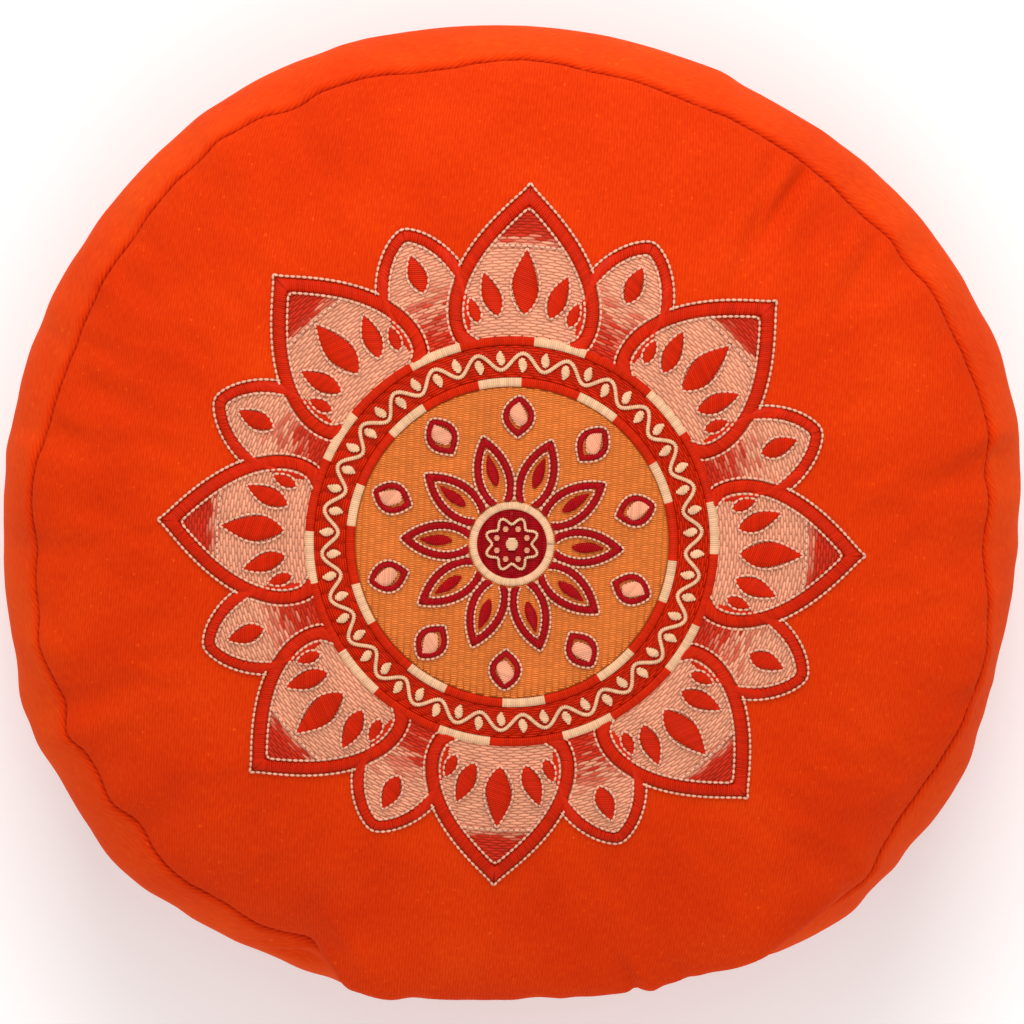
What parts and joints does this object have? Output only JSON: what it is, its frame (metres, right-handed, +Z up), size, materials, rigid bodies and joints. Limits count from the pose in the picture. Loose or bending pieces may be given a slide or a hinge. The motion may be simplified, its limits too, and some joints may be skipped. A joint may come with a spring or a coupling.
{
  "type": "zafu meditation cushion",
  "caption": "Round filled floor cushion with a crowned top panel, a bulging sewn side band, puckered seams and a raised stitched medallion.",
  "frame": {"origin": "middle of the underside, on the surface the cushion rests on", "axes": "+Z up through the crown, +Y towards the top of the medallion as the picture shows it, +X to its right"},
  "size_m": [0.3284, 0.314, 0.1524],
  "materials": {
    "cotton_twill": "matte woven cotton twill",
    "thread_red": "satin stitched thread with a soft sheen",
    "thread_pink": "filled stitching with a soft sheen",
    "thread_apricot": "filled stitching with a soft sheen",
    "thread_wine": "satin stitched thread with a soft sheen",
    "thread_cream": "satin stitched thread with a soft sheen"
  },
  "bodies": {
    "root": {"cushion": "cotton_twill", "ring": "thread_red", "disc": "thread_apricot", "centre_ring": "thread_cream", "centre_flower": "thread_wine", "large_petal_1": "thread_pink", "large_petal_2": "thread_pink", "large_petal_3": "thread_pink", "large_petal_4": "thread_pink", "large_petal_5": "thread_pink", "large_petal_6": "thread_pink", "large_petal_7": "thread_pink", "large_petal_8": "thread_pink", "small_petal_1": "thread_pink", "small_petal_2": "thread_pink", "small_petal_3": "thread_pink", "small_petal_4": "thread_pink", "small_petal_5": "thread_pink", "small_petal_6": "thread_pink", "small_petal_7": "thread_pink", "small_petal_8": "thread_pink", "rosette_petal_1": "thread_wine", "rosette_petal_2": "thread_wine", "rosette_petal_3": "thread_wine", "rosette_petal_4": "thread_wine", "rosette_petal_5": "thread_wine", "rosette_petal_6": "thread_wine", "rosette_petal_7": "thread_wine", "rosette_petal_8": "thread_wine", "rosette_petal_9": "thread_wine", "rosette_petal_10": "thread_wine", "bud_1": "thread_wine", "bud_2": "thread_wine", "bud_3": "thread_wine", "bud_4": "thread_wine", "bud_5": "thread_wine", "bud_6": "thread_wine", "bud_7": "thread_wine", "bud_8": "thread_wine", "bud_9": "thread_wine", "bud_10": "thread_wine"}
  },
  "joints": []
}
